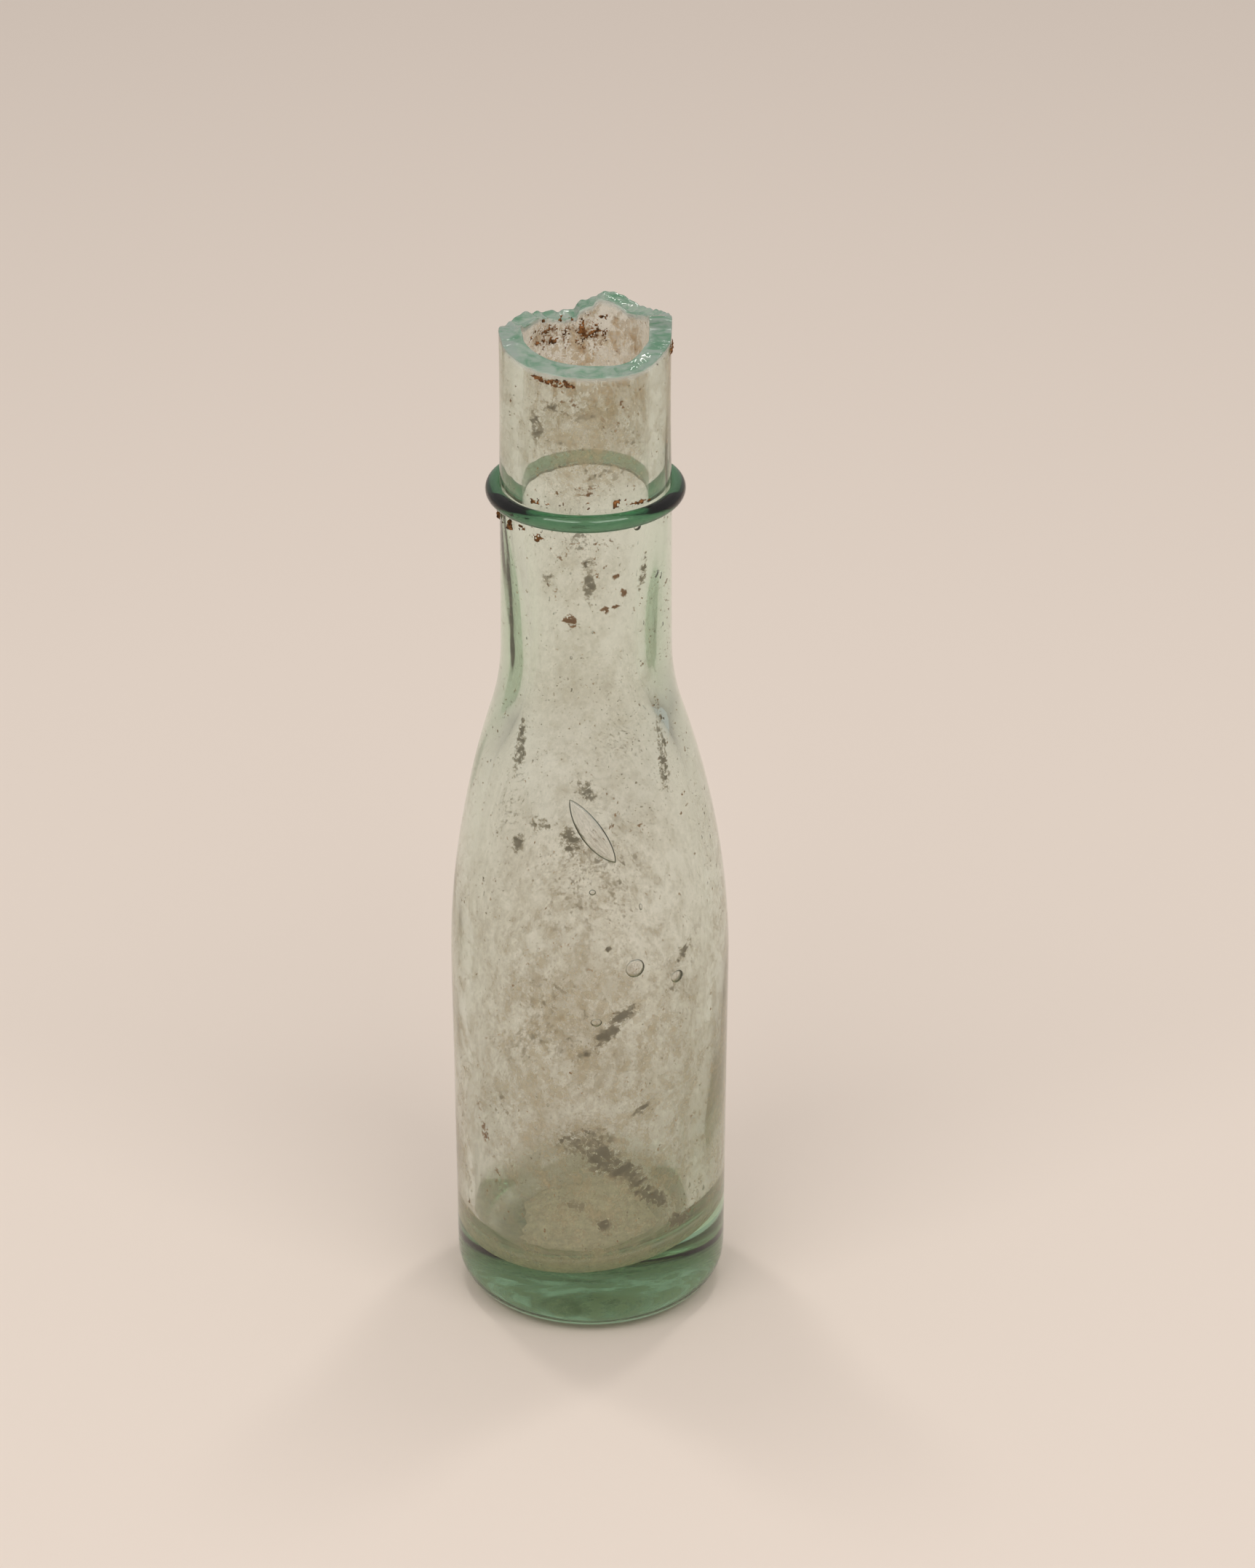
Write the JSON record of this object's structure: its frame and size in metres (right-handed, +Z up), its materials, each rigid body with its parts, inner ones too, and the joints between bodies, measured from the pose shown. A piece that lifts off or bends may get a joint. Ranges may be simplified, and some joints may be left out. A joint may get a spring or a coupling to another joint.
{
  "type": "glass bottle",
  "caption": "Small slope-shouldered aqua glass bottle with a broken lip, a trailed ring round its neck and a thick base.",
  "frame": {"origin": "middle of the foot, on the surface that the bottle stands on", "axes": "+Z up along the bottle, -Y towards the side that the low part of the lip is on, +X towards its tall corner"},
  "size_m": [0.044, 0.044, 0.1669],
  "materials": {
    "aqua_glass": "clear, faintly hazed",
    "deep_aqua_glass": "clear, gloss",
    "silt_film": "dull haze",
    "dried_silt": "matte",
    "rust_crust": "matte"
  },
  "bodies": {
    "root": {"glass_vessel": "aqua_glass", "neck_ring": "deep_aqua_glass", "wall_silt_film": "silt_film", "floor_silt": "dried_silt", "bore_rust_crust": "rust_crust", "ring_top_rust": "rust_crust", "ring_under_soil": "rust_crust"}
  },
  "joints": []
}
